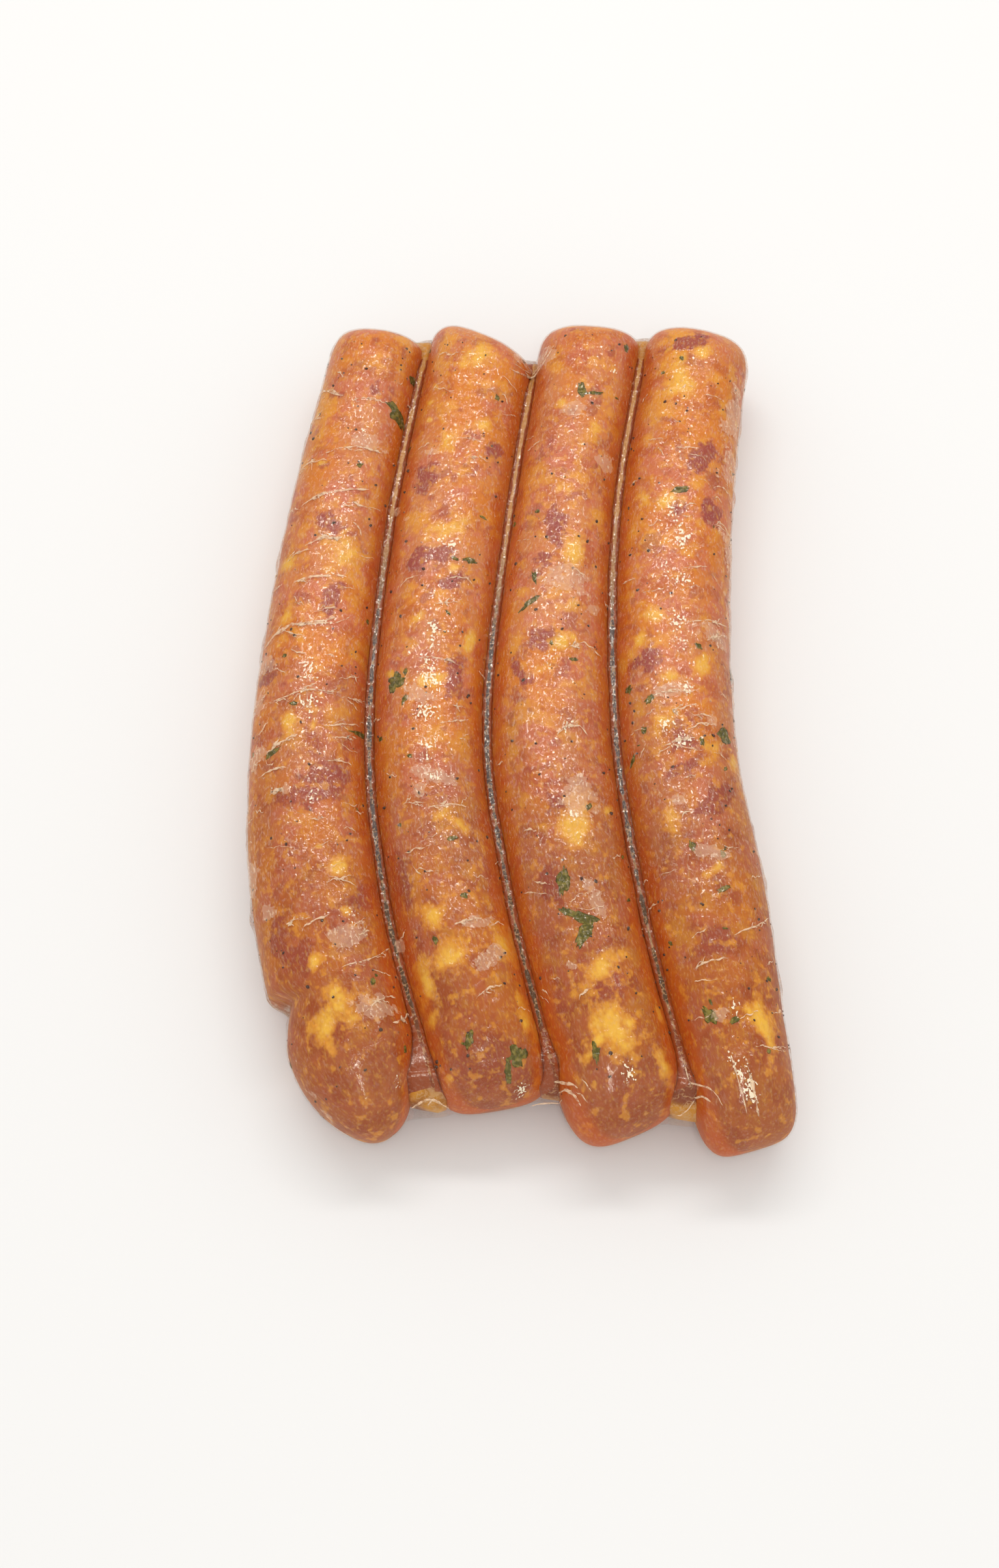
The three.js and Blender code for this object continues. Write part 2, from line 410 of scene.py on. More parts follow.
# Small creases drawn at random: how many on each sausage, the Y and the share of the way over
# its crown that they lie between, and their least and greatest length, width and bow.
SMALL_CREASES = (60, 26, 18, 50)
SMALL_CREASE_Y = (-84, 88)
SMALL_CREASE_TURN = (0.12, 0.88)
SMALL_CREASE_LENGTH = (1.5, 6)
SMALL_CREASE_SLOPE = (-1.2, 1.2)
SMALL_CREASE_WIDTH = (0.15, 0.4)
SMALL_CREASE_BOW = (-0.4, 0.8)

# What else is drawn at random: the seed of each piece, the Y that spots and specks lie between,
# the width of a spot against its length, and the angles of the parts of a sausage.
MEAT_SEED = 3
FILM_SEED = 5
CREASE_SEED = 7
HERB_SEED = 11
PEPPER_SEED = 13
SEED_RANGE = (0, 100)
SPOT_Y = (-88, 92)
SPOT_SLENDER = (0.35, 0.8)
PEPPER_Y = (-90, 94)
UPPER_SIDE = (0, math.pi)
LOWER_SIDE = (math.pi, math.pi * 2)
UNDERSIDE = (math.pi * 1.08, math.pi * 1.92)

# Ripples of loose film at the outer edges of the pack: how far they stand out, their long and
# short wavelength, and the columns of film that they take up.
RIPPLE = 0.9
RIPPLE_LONG = 8.0
RIPPLE_SHORT = 2.6
RIPPLE_COLUMNS = 9

# Widths of the pale bands along the free rim of the film, partly loose film and partly a painted
# reflection of the bright surroundings: left, right and at the far ends.
RIM_LEFT = 1.6
RIM_RIGHT = 3.2
RIM_FAR = 1.0

# Fineness of the meshes.
AROUND = 144
RINGS = 360
END_RINGS = 34
END_RING_POWER = 2.2  # draws the rings of an end together towards its tip
FILM_COLUMNS = 36  # across one sausage
FILM_ROWS = 330
FILM_END_ROWS = 26
FILM_END_LENGTH = 16.0
RIM_STEPS = 26
CREASE_SIDES = 6
CREASE_RINGS = 22
FLAKE_SIDES = 26
FLAKE_RINGS = 8
FLAKE_LIFT = 0.02
FLAKE_TAPER = 0.35
FLAKE_RAGGED = ((1.6, 0.6), (4.5, 0.5))  # notches of a flake's outline, as number and depth
PEPPER_SPREAD = 1.3  # length of the longest speck against its width
JUICE_SIDES = 16
JUICE_RINGS = 200
JUICE_HALF = 1.4
JUICE_POWER = 5.0
JUICE_REACH = 4.0  # how far juice follows the side of an end that draws back
JUICE_MARGIN = 0.8
JUICE_CLOSING = 40  # the greater, the blunter the ends of the juice in a valley
JELLY_Y = (-91.0, 92.0)  # beyond these, jelly lies all across between the ends
VALLEY_FROM = 0.55  # share of a sausage's half width from which painted shade darkens the side of a valley
VALLEY_SPAN = 0.35

# The stage, in metres and watts.
FLOOR_DROP = 0.0001
STUDIO_COLOUR = (1.0, 0.99, 0.975)
STUDIO_STRENGTH = 0.85
Light = namedtuple("Light", "name place size power")
LIGHTS = (
    Light("main_light", (0.0, 0.53, 0.886), (1.0, 0.12), 3.0),
    Light("near_light", (0.05, -0.41, 0.91), (0.03, 0.5), 1.2),
)


def to_linear(part):
    """Linear value of one sRGB channel of 0 to 255."""
    share = part / 255
    return share / 12.92 if share <= 0.04045 else ((share + 0.055) / 1.055) ** 2.4


def colour(name, description, red, green, blue):
    """A colour property whose default is given as sRGB values of 0 to 255."""
    return FloatVectorProperty(
        name=name,
        description=description,
        default=[to_linear(part) for part in (red, green, blue)],
        subtype="COLOR",
        size=3,
        min=0.0,
        max=1.0,
    )


class PackSizes(PropertyGroup):
    """Sizes that a user may change."""

    film_gap: FloatProperty(
        name="Film gap",
        description="Space between the meat and the outside of the film",
        default=0.0003,
        unit="LENGTH",
    )
    crease_height: FloatProperty(
        name="Crease height",
        description="How far a crease of the film stands up",
        default=0.00013,
        unit="LENGTH",
    )
    herb_thickness: FloatProperty(
        name="Herb thickness",
        description="Thickness of a herb flake",
        default=0.0002,
        unit="LENGTH",
    )
    pepper_radius: FloatProperty(
        name="Pepper radius",
        description="Radius of a middling speck of pepper",
        default=0.00022,
        unit="LENGTH",
    )
    pepper_count: IntProperty(
        name="Pepper count",
        description="Specks of pepper in the surface of one sausage",
        default=420,
        min=0,
    )
    floor_side: FloatProperty(
        name="Floor side",
        description="Length of each side of the plain floor",
        default=6.0,
        unit="LENGTH",
    )


class PackColours(PropertyGroup):
    """Colours that a user may change."""

    meat: colour("Meat", "Salmon-coloured mixed meat", 212, 132, 74)
    spiced: colour("Spiced meat", "Meat stained orange by its spice", 218, 130, 40)
    pink: colour("Pink meat", "Paler, pinkish mixed meat", 208, 116, 84)
    deep: colour("Deep meat", "Darker mixed meat", 188, 88, 40)
    fat: colour("Fat", "Middle of a piece of fat", 244, 200, 76)
    stained_fat: colour("Stained fat", "Rim of a piece of fat", 232, 162, 50)
    lean: colour("Lean", "Piece of lean meat", 160, 70, 66)
    # Deeper orange painted on the sides of the valleys as shade.
    valley: colour("Valley meat", "Deep orange sides of the valleys", 204, 92, 24)
    # Painted shade: darker brown towards the near ends, and at the sides of the juice in the
    # valleys.
    shade_brown: colour("Browned", "Meat towards the near ends", 150, 70, 28)
    herb: colour("Herb", "Dried herb flake", 88, 82, 30)
    pale_herb: colour("Pale herb", "Paler parts of a herb flake", 146, 130, 60)
    pepper: colour("Pepper", "Speck of pepper", 40, 28, 24)
    far_juice: colour("Far juice", "Fatty juice towards the far ends", 192, 134, 60)
    middle_juice: colour("Middle juice", "Grey juice in the middle of a valley", 82, 66, 62)
    near_juice: colour("Near juice", "Brown juice towards the near ends", 88, 60, 32)
    dark_juice: colour("Dark juice", "Red-brown juice between the near ends", 132, 62, 26)
    jelly: colour("Jelly", "Amber jelly at the free edges between the ends", 204, 140, 34)
    # Also painted as glints on the juice.
    bubble_and_glint: colour("Bubble", "Rims of small bubbles in the juice", 206, 164, 112)
    # Also painted as pale sheen dashes all over the film and as a reflection band along its rim.
    haze_and_sheen: colour("Haze", "Film that has come away from the meat", 244, 204, 168)
    gleam: colour("Gleam", "Finely wrinkled film in full light", 255, 240, 206)
    crease: colour("Crease", "Film folded on itself", 250, 218, 180)
    floor: colour("Floor", "Plain floor", 236, 235, 233)


def smooth(values, y):
    """Value at y of a smooth curve through the stations."""
    last = len(STATION_Y) - 1
    i = 0
    while i < last - 1 and y > STATION_Y[i + 1]:
        i += 1

    def slope(k):
        a = max(k - 1, 0)
        b = min(k + 1, last)
        return (values[b] - values[a]) / (STATION_Y[b] - STATION_Y[a])

    span = STATION_Y[i + 1] - STATION_Y[i]
    t = (y - STATION_Y[i]) / span
    start = (1 + 2 * t) * (1 - t) ** 2 * values[i] + t * (1 - t) ** 2 * span * slope(i)
    end = t * t * (3 - 2 * t) * values[i + 1] + t * t * (t - 1) * span * slope(i + 1)
    return start + end


def rounded(share, power):
    """A cosine or sine bent towards the square corner of a section."""
    return math.copysign(abs(share) ** (2 / power), share)


def taper(share, power):
    """Height of a rounded end at a share of its length: 1 at 0, and 0 at 1."""
    return max(1 - abs(share) ** power, 0) ** (1 / power)


def clamp(value, low, high):
    return max(low, min(high, value))


def greater(a, b, fillet):
    """The greater of two values, rounded over where they are nearly equal."""
    share = clamp(0.5 + 0.5 * (a - b) / fillet, 0, 1)
    return b + (a - b) * share + fillet * share * (1 - share)


@functools.lru_cache(maxsize=None)
def exact_section(index, number):
    """Middle, half width and lean of a sausage at one of the numbered steps along Y."""
    left, right = LINE_X[index], LINE_X[index + 1]
    y = number * SECTION_STEP
    step = 0.5
    before = smooth(left, y - step) + smooth(right, y - step)
    after = smooth(left, y + step) + smooth(right, y + step)
    lean = math.atan((after - before) / 2)
    width = smooth(right, y) - smooth(left, y)
    middle = (smooth(left, y) + smooth(right, y)) / 2
    return middle, (width / 2 + BITE) * math.cos(lean), lean


def section(index, y):
    """Middle, half width and lean of a sausage where its axis passes y."""
    number, share = divmod(y / SECTION_STEP, 1)
    before = exact_section(index, number)
    after = exact_section(index, number + 1)
    return tuple(a + (b - a) * share for a, b in zip(before, after))


def crown(index, y):
    """Half height of a sausage at y, which rises and falls a little."""
    return HALF_HEIGHT * (1 - GIRTH_CHANGE * math.sin(2 * math.pi * y / GIRTH_WAVE + index) ** 2)


def nip(index, across, y):
    """How far the fold draws the left-hand side of the first sausage in."""
    if index > 0 or across > 0:
        return 0.0
    past = y - NIP_Y
    reach = past / NIP_RISE if past > 0 else -past / NIP_FALL
    return NIP_DEPTH * max(1 - reach, 0) ** NIP_POWER * across * across


def lump(index, place, side, rise):
    """Height of the low lumps at a point of a sausage."""
    point = Vector((side + LUMPS_APART * index, rise, place))
    return sum(height * noise.noise(point / wavelength) for wavelength, height in LUMPS)


def end_and_body(index, place):
    """The end of a sausage that a place is nearer, and where its body stops towards it."""
    near, far = SAUSAGES[index]
    if place < 0:
        return near, near.tip + near.length, -1
    return far, far.tip - far.length, 1


def surface(index, place, angle, outset):
    """A point of a sausage's skin, moved out by outset, and its place, side and rise.

    The place is the Y of its section before an end is rounded. The angle turns from the
    right-hand side over the crown.
    """
    end, body, outward = end_and_body(index, place)
    reach = clamp(outward * (place - body) / (end.length + outset), 0, 1)
    middle, half, lean = section(index, place)
    across = rounded(math.cos(angle), SECTION_POWER) * taper(reach, end.blunt)
    upward = rounded(math.sin(angle), SECTION_POWER) * taper(reach, END_SLOPE_POWER)
    side = across * (half + outset)
    rise = upward * (crown(index, place) + outset)
    swell = lump(index, place, side, rise)
    girth = max(math.hypot(side, rise), LEAST_GIRTH)
    spread = side + swell * side / girth
    x = middle + spread * math.cos(lean)
    y = place - spread * math.sin(lean) - outward * across * reach * end.skew
    x += nip(index, across, y)
    z = AXIS_HEIGHT + rise + swell * rise / girth
    return Vector((x, y, max(z, -outset))), (place, side, rise)


def skin(index, place, angle, outset):
    """A point of a sausage's skin and the direction straight out of it."""
    step, turn = 0.4, 0.03
    point = surface(index, place, angle, outset)[0]
    ahead = surface(index, place + step, angle, outset)[0] - point
    beside = surface(index, place, angle - turn, outset)[0] - point
    return point, beside.cross(ahead).normalized()


def ring_place(index, ring, outset):
    """Place of one ring of a sausage's mesh, from 0 at the near tip."""
    near, far = SAUSAGES[index]
    body_from = near.tip + near.length
    body_to = far.tip - far.length
    if ring < END_RINGS:
        reach = 1 - (ring / END_RINGS) ** END_RING_POWER
        return body_from - (near.length + outset) * reach
    if ring > RINGS - END_RINGS:
        reach = 1 - ((RINGS - ring) / END_RINGS) ** END_RING_POWER
        return body_to + (far.length + outset) * reach
    return body_from + (body_to - body_from) * (ring - END_RINGS) / (RINGS - 2 * END_RINGS)


def locate(index, x, y):
    """Place, share across and reach into an end of the skin above a point of the plan."""
    place, moved = y, 1.0
    while abs(moved) > CLOSE:
        middle, half, lean = section(index, place)
        across = (x - middle) / (half * math.cos(lean))
        end, body, outward = end_and_body(index, place)
        reach = clamp(outward * (place - body) / end.length, 0, PAST_TIP)
        moved = y + across * (half * math.sin(lean) + outward * reach * end.skew) - place
        place += moved
    return place, across, reach


def cap_height(index, x, y):
    """Height of a sausage's skin above its axis at a point of the plan, or 0 beside it."""
    place, across, reach = locate(index, x, y)
    end = end_and_body(index, place)[0]
    width = taper(reach, end.blunt)
    if reach >= 1 or abs(across) >= width:
        return 0.0
    return crown(index, place) * taper(reach, END_SLOPE_POWER) * taper(across / width, SECTION_POWER)


def angle_across(share):
    """Angle round the upper side at a share of the half width."""
    return math.acos(math.copysign(clamp(abs(share), 0, 0.999) ** (SECTION_POWER / 2), share))


def bridge_edge(line, x, y):
    """How far inside the free edge of the film between two ends a point lies, or None beside it."""
    far_side = y > 0
    notch = BRIDGES[line - 1][far_side]
    offset = (x - smooth(LINE_X[line], notch)) / BRIDGE_REACH
    if abs(offset) > 1:
        return None
    sausage = line if offset > 0 else line - 1
    outward = 1 if far_side else -1
    edge = SAUSAGES[sausage][far_side].tip - outward * BRIDGE_SETBACK
    bend = math.sqrt(1 + 3 * abs(offset)) - 1
    return outward * (notch + bend * bend * (edge - notch) - y)


def floor_height(line, x, y):
    """Height above the axis of the film stretched along a valley and between two ends."""
    inside = bridge_edge(line, x, y)
    beside = abs(x - smooth(LINE_X[line], y))
    if inside is None or inside > BRIDGE_DEPTH:
        return WEB_HALF_HEIGHT if beside < BRIDGE_REACH / 2 else 0.0
    if inside <= 0:
        return 0.0
    height = EDGE_HALF_HEIGHT + (WEB_HALF_HEIGHT - EDGE_HALF_HEIGHT) * inside / BRIDGE_DEPTH
    if y < 0:
        height += NEAR_RISE * max(1 - abs(inside / NEAR_RISE_AT - 1), 0) ** NEAR_RISE_POWER
    return height * taper(max(1 - inside / EDGE_ROUNDING, 0), 2)


def film_height(index, x, y):
    """Height of the film above the axis at a point of the plan over one sausage."""
    height = cap_height(index, x, y)
    for line, neighbour in ((index, index - 1), (index + 1, index + 1)):
        if 0 < line < len(SAUSAGES) and abs(x - smooth(LINE_X[line], y)) < BRIDGE_REACH:
            beside = cap_height(neighbour, x, y)
            low = greater(beside, floor_height(line, x, y), VALLEY_FILLET)
            height = greater(height, low, VALLEY_FILLET)
    return height


def over_plan(x, y):
    """A point of the film's upper side, above a point of the plan."""
    return Vector((x, y, AXIS_HEIGHT + film_height(sausage_at(x, y), x, y)))


def sausage_at(x, y):
    """Number of the sausage over a point of the plan."""
    return sum(x > smooth(LINE_X[line], y) for line in (1, 2, 3))


def film_skin(x, y):
    """A point of the film's upper side and the direction straight out of it."""
    step = 0.3
    point = over_plan(x, y)
    across = over_plan(x + step, y) - point
    ahead = over_plan(x, y + step) - point
    return point, across.cross(ahead).normalized()


def camera_axes():
    """Right, up and backward directions of the photo's camera."""
    back = Vector((0, -math.cos(CAMERA_TILT), math.sin(CAMERA_TILT)))
    right = Vector((1, 0, 0))
    return right, back.cross(right), back


def on_plan(px, py):
    """Point of the plan under the film that shows at a pixel of the photo."""
    right, up, back = camera_axes()
    eye = LOOK_AT + back * CAMERA_DISTANCE
    ray = right * (px - PHOTO_WIDTH / 2) + up * (PHOTO_HEIGHT / 2 - py) - back * FOCAL_PIXELS
    height = HALF_HEIGHT * FIRST_RISE
    for _ in range(LOOK_TRIALS):
        point = eye + ray * ((AXIS_HEIGHT + height - eye.z) / ray.z)
        height = 0.5 * (height + film_height(sausage_at(*point.xy), *point.xy))
    return point.xy


def on_sausage(px, py):
    """Sausage, place and angle of the skin that shows at a pixel of the photo."""
    x, y = on_plan(px, py)
    index = sausage_at(x, y)
    place, across, reach = locate(index, x, y)
    width = max(taper(reach, end_and_body(index, place)[0].blunt), 0.05)
    return index, place, angle_across(across / width)


class Spots:
    """Blotches on one sausage, as (place, angle, half length, half width, turn, squeeze)."""

    def __init__(self, spots):
        self.spots = spots
        self.near = {}

    def strength(self, place, angle):
        """1 in the middle of a blotch, 0.5 at its rim and 0 well outside."""
        band = round(place)
        if band not in self.near:
            self.near[band] = [spot for spot in self.spots if abs(spot[0] - band) < 2 * spot[2] + 1]
        most = 0.0
        for spot_place, spot_angle, half_length, half_width, turn, squeeze in self.near[band]:
            turned = (angle - spot_angle + math.pi) % (2 * math.pi) - math.pi
            ahead, beside = place - spot_place, -turned * HALF_HEIGHT * squeeze
            along = ahead * math.cos(turn) + beside * math.sin(turn)
            wide = beside * math.cos(turn) - ahead * math.sin(turn)
            most = max(most, 1 - 0.5 * math.hypot(along / half_length, wide / half_width))
        return most


def placed(spots):
    """The spots of each sausage, squeezed across as a steep side looks from above."""
    found = [[], [], [], []]
    for spot in spots:
        index, place, angle = on_sausage(spot.px, spot.py)
        shape = (spot.length / 2, spot.width / 2, math.radians(spot.turn))
        found[index].append((place, angle, *shape, max(math.sin(angle), LEAST_SQUEEZE)))
    return found


def scattered(rng, count, least, most, angles):
    """Spots drawn at random on one sausage, between two angles, least to most long."""
    spots = []
    for _ in range(count):
        place = rng.uniform(*SPOT_Y)
        angle = rng.uniform(*angles)
        half = rng.uniform(least, most) / 2
        wide = half * rng.uniform(*SPOT_SLENDER)
        spots.append((place, angle, half, wide, rng.uniform(0, math.pi), 1))
    return spots


def add_part(whole, part):
    """Puts the mesh of one bmesh into another."""
    mesh = bpy.data.meshes.new("part")
    part.to_mesh(mesh)
    part.free()
    whole.from_mesh(mesh)
    bpy.data.meshes.remove(mesh)


def new_piece(bm, name, material):
    """A smooth piece of a bmesh whose faces are turned outwards."""
    bmesh.ops.recalc_face_normals(bm, faces=bm.faces)
    for face in bm.faces:
        face.smooth = True
    mesh = bpy.data.meshes.new(name)
    bm.to_mesh(mesh)
    bm.free()
    mesh.materials.append(material)
    piece = bpy.data.objects.new(name, mesh)
    bpy.context.scene.collection.objects.link(piece)
    return piece


def keep(piece):
    """Ties a finished piece to the frame, in place of the sealed pack's solid."""
    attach(piece, BODY)
    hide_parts(PACK_NODE)


class Signal:
    """One output of a node, on which plain arithmetic adds Math nodes."""

    def __init__(self, shader, socket):
        self.shader = shader
        self.socket = socket

    def math(self, operation, first, second):
        return self.shader.add("ShaderNodeMath", {"operation": operation}, {0: first, 1: second})

    def __add__(self, other):
        return self.math("ADD", self, other)

    def __radd__(self, other):
        return self.math("ADD", other, self)

    def __sub__(self, other):
        return self.math("SUBTRACT", self, other)

    def __rsub__(self, other):
        return self.math("SUBTRACT", other, self)

    def __mul__(self, other):
        return self.math("MULTIPLY", self, other)

    def __rmul__(self, other):
        return self.math("MULTIPLY", other, self)

    def largest(self, other):
        return self.math("MAXIMUM", self, other)


class Shader:
    """The nodes of one new material."""

    def __init__(self, name):
        self.material = bpy.data.materials.new(name)
        self.material.use_nodes = True
        self.nodes = self.material.node_tree.nodes
        self.links = self.material.node_tree.links
        self.nodes.clear()

    def add(self, kind, settings, inputs, output=0):
        """Adds a node: its settings first, then the values or links of its sockets."""
        node = self.nodes.new(kind)
        for key, value in settings.items():
            setattr(node, key, value)
        for key, value in inputs.items():
            if isinstance(value, Signal):
                self.links.new(value.socket, node.inputs[key])
            else:
                node.inputs[key].default_value = value
        return Signal(self, node.outputs[output]) if node.outputs else None

    def attribute(self, name, output):
        return self.add("ShaderNodeAttribute", {"attribute_name": name}, {}, output)

    def place(self):
        """The object's own coordinates, in metres."""
        return self.add("ShaderNodeTexCoord", {}, {}, "Object")

    def stretch(self, vector, scale):
        settings = {"operation": "MULTIPLY"}
        return self.add("ShaderNodeVectorMath", settings, {0: vector, 1: scale})

    def shift(self, vector, offset):
        return self.add("ShaderNodeVectorMath", {"operation": "ADD"}, {0: vector, 1: offset})

    def noise(self, vector, size, detail=2.0, roughness=0.5, swirl=0.0):
        """Noise of 0 to 1 whose blobs are about size metres apart."""
        inputs = {"Vector": vector, "Scale": 1 / size, "Detail": detail, "Roughness": roughness}
        inputs["Distortion"] = swirl
        return self.add("ShaderNodeTexNoise", {}, inputs)

    def mask(self, value, low, high):
        """0 at low and 1 at high, smooth between them."""
        inputs = {"Value": value, "From Min": low, "From Max": high}
        return self.add("ShaderNodeMapRange", {"interpolation_type": "SMOOTHSTEP"}, inputs)

    def mix(self, factor, first, second):
        """Mixes two colours, given as links or as linear values."""
        inputs = {0: factor}
        for key, value in ((6, first), (7, second)):
            inputs[key] = value if isinstance(value, Signal) else (*value, 1.0)
        return self.add("ShaderNodeMix", {"data_type": "RGBA"}, inputs, 2)

    def bump(self, height, strength, distance):
        """Bump whose full height is distance metres."""
        inputs = {"Height": height, "Strength": strength, "Distance": distance}
        return self.add("ShaderNodeBump", {}, inputs)

    def principled(self, inputs):
        return self.add("ShaderNodeBsdfPrincipled", {}, inputs)

    def blend(self, factor, first, second):
        return self.add("ShaderNodeMixShader", {}, {0: factor, 1: first, 2: second})

    def show(self, shown):
        self.add("ShaderNodeOutputMaterial", {}, {"Surface": shown})
        return self.material


def meat_material(colours):
    """Coarse orange-red mince with fat and lean in it, seen through a thin casing, with painted
    shade towards the near ends and on the sides of the valleys.
    """
    shader = Shader("coarse_meat")
    lie = shader.attribute("lie", 1)
    fat = shader.attribute("fat", 2)
    lean = shader.attribute("lean", 2)
    valley = shader.attribute("valley", 2)

    wide = shader.noise(shader.stretch(lie, (1, 1, 0.6)), 0.016, 2)
    base = shader.mix(shader.mask(wide, 0.42, 0.6), colours.meat, colours.spiced)
    flush = shader.noise(shader.shift(lie, (0.9, 0, 0)), 0.0085, 3, 0.55)
    base = shader.mix(shader.mask(flush, 0.48, 0.6) * 0.75, base, colours.pink)
    coarse = shader.noise(shader.shift(lie, (0.3, 0, 0)), 0.0052, 3, 0.55)
    base = shader.mix(shader.mask(coarse, 0.5, 0.64) * 0.6, base, colours.deep)
    golden = shader.noise(shader.shift(lie, (0, 0.7, 0)), 0.0062, 3, 0.6)
    base = shader.mix(shader.mask(golden, 0.52, 0.66) * 0.7, base, colours.stained_fat)

    ragged = shader.noise(lie, 0.0028, 3, 0.6)
    uneven = (ragged - 0.5) * 1.1 + (coarse - 0.5) * 1.4
    small_lean = shader.noise(shader.shift(lie, (0, 0.4, 0)), 0.0045, 2)
    base = shader.mix(shader.mask(small_lean, 0.58, 0.68) * 0.5, base, colours.lean)
    base = shader.mix(shader.mask(lean + uneven, 0.4, 0.66) * 0.85, base, colours.lean)

    near = shader.add("ShaderNodeSeparateXYZ", {}, {0: lie}, 2)
    far_off = near + (wide - 0.5) * 0.08
    # Painted shade: the meat turns a darker brown towards the near ends, and in blotches there.
    base = shader.mix(shader.mask(far_off, 0.02, -0.09) * 0.75, base, colours.shade_brown)
    near_shade_blotches = shader.mask(coarse - far_off * 2.0, 0.66, 0.8) * 0.5
    base = shader.mix(near_shade_blotches, base, colours.shade_brown)

    grains = shader.noise(shader.shift(lie, (0, 0, 0.5)), 0.0021, 2, 0.5)
    base = shader.mix(shader.mask(grains, 0.54, 0.7) * 0.5, base, colours.stained_fat)
    base = shader.mix(shader.mask(fat - uneven, 0.3, 0.62) * 0.55, base, colours.stained_fat)
    base = shader.mix(shader.mask(fat - uneven, 0.5, 1.0) * 0.6, base, colours.fat)

    # Painted shade: the sides of the valleys between the sausages turn a deeper orange.
    low = valley + (coarse - 0.5) * 0.8
    base = shader.mix(shader.mask(low, 0.2, 0.9) * 0.6, base, colours.valley)

    fibres = shader.noise(shader.stretch(lie, (1, 1, 0.4)), 0.00055, 2, 0.6)
    base = shader.mix(shader.mask(fibres, 0.52, 0.72) * 0.18, base, colours.fat)
    base = shader.mix(shader.mask(fibres, 0.46, 0.28) * 0.18, base, colours.deep)

    relief = coarse * 0.6 + grains * 0.4
    normal = shader.bump(relief, 0.5, 0.0003)
    inputs = {
        "Base Color": base,
        "Roughness": 0.45,
        "Normal": normal,
        "Specular IOR Level": 0.15,
        "Subsurface Weight": 0.3,
        "Subsurface Radius": (1.0, 0.4, 0.15),
        "Subsurface Scale": 0.002,
    }
    return shader.show(shader.principled(inputs))


def film_material(colours):
    """Clear film: it shines at its fine wrinkles, and looks hazy where it has come loose; painted
    highlights, fine painted sheen dashes and a partly painted reflection band along its rim are
    drawn in its pale layer.
    """
    shader = Shader("clear_film")
    lie = shader.attribute("lie", 1)
    loose = shader.attribute("loose", 2)
    rim = shader.attribute("rim", 2)
    gleam = shader.attribute("gleam", 2)
    fine = shader.noise(shader.stretch(lie, (1, 1, 0.6)), 0.0007, 2, 0.6)
    lumps = shader.noise(shader.shift(lie, (0, 0.2, 0)), 0.0014, 2, 0.5, 0.6)
    broad = shader.noise(shader.stretch(lie, (0.7, 0.7, 1.1)), 0.0036, 2, 0.5, 1.0)
    along = shader.add("ShaderNodeSeparateXYZ", {}, {0: lie}, 2)
    tight = shader.mask(along + (broad - 0.5) * 0.02, -0.08, -0.09)
    shaded = shader.mask(along, -0.035, -0.08)
    height = (broad * 0.55 + lumps * 0.3 + fine * 0.22) * (1.0 - tight * 0.75)
    normal = shader.bump(height, 1.0, 0.0005)

    warm = (1, 0.94, 0.82, 1)
    gloss = shader.principled(
        {"Base Color": warm, "Metallic": 1.0, "Roughness": 0.12, "Normal": normal}
    )
    clear = shader.add("ShaderNodeBsdfTransparent", {}, {})
    fresnel = shader.add("ShaderNodeFresnel", {}, {"IOR": 1.5})
    facets = shader.noise(shader.stretch(lie, (1, 1, 0.6)), 0.0006, 2, 0.6)
    sparkle = shader.mask(facets, 0.54, 0.66)
    shine = fresnel * (0.5 - shaded * 0.3) + sparkle * (0.12 - shaded * 0.07) + tight * 0.02
    film = shader.blend(shine, clear, gloss)

    ragged = shader.noise(shader.shift(lie, (0.7, 0, 0)), 0.003, 3, 0.65)
    flecks = shader.noise(shader.stretch(lie, (1, 1, 0.7)), 0.0005, 1)
    flecks = flecks + (ragged - 0.5) * 0.5 + tight * 0.06
    gleaming = shader.mask(flecks + (gleam - 0.9) * 0.5, 0.5, 0.57)
    patch = shader.mask(loose + (ragged - 0.5) * 1.8, 0.42, 0.54)
    # Painted reflection: fine pale dashes all over the film, fewer towards the near ends.
    sheen_dash_noise = shader.noise(shader.stretch(lie, (1, 1, 0.35)), 0.0004, 1)
    sheen_dash = shader.mask(sheen_dash_noise, 0.58, 0.7) * (0.18 - shaded * 0.1)
    # Partly loose film and partly painted reflection: a pale band along the free rim.
    band = shader.mask(rim * 0.6 + (ragged - 0.5) * 2.4, 0.45, 0.9) * 0.4
    cover = (patch * (0.26 + sparkle * 0.3)).largest(sheen_dash).largest(band)
    tone = shader.mix(gleaming, colours.haze_and_sheen, colours.gleam)
    haze_and_sheen = shader.principled({"Base Color": tone, "Roughness": 0.3, "Normal": normal})
    return shader.show(shader.blend(cover.largest(gleaming * 0.85), film, haze_and_sheen))


def crease_material(colours):
    """Film folded on itself: pale, half clear and shiny."""
    shader = Shader("folded_film")
    mottle = shader.noise(shader.place(), 0.0009, 2)
    normal = shader.bump(mottle, 0.8, 0.0002)
    pale = shader.principled(
        {"Base Color": (*colours.crease, 1), "Roughness": 0.14, "Normal": normal}
    )
    clear = shader.add("ShaderNodeBsdfTransparent", {}, {})
    return shader.show(shader.blend(shader.mask(mottle, 0.3, 0.6) * 0.6, clear, pale))


def herb_material(colours):
    """Dry leaf, mottled and veined."""
    shader = Shader("dried_herb")
    mottle = shader.noise(shader.place(), 0.0011, 3, 0.6)
    tone = shader.mix(shader.mask(mottle, 0.42, 0.64) * 0.8, colours.herb, colours.pale_herb)
    normal = shader.bump(mottle, 0.7, 0.00015)
    inputs = {"Base Color": tone, "Roughness": 0.6, "Normal": normal, "Specular IOR Level": 0.1}
    return shader.show(shader.principled(inputs))


def pepper_material(colours):
    """Ground pepper, nearly black."""
    shader = Shader("ground_pepper")
    mottle = shader.noise(shader.place(), 0.0007, 1)
    brown = (0.12, 0.045, 0.02)
    tone = shader.mix(mottle, colours.pepper, brown)
    return shader.show(shader.principled({"Base Color": tone, "Roughness": 0.55}))


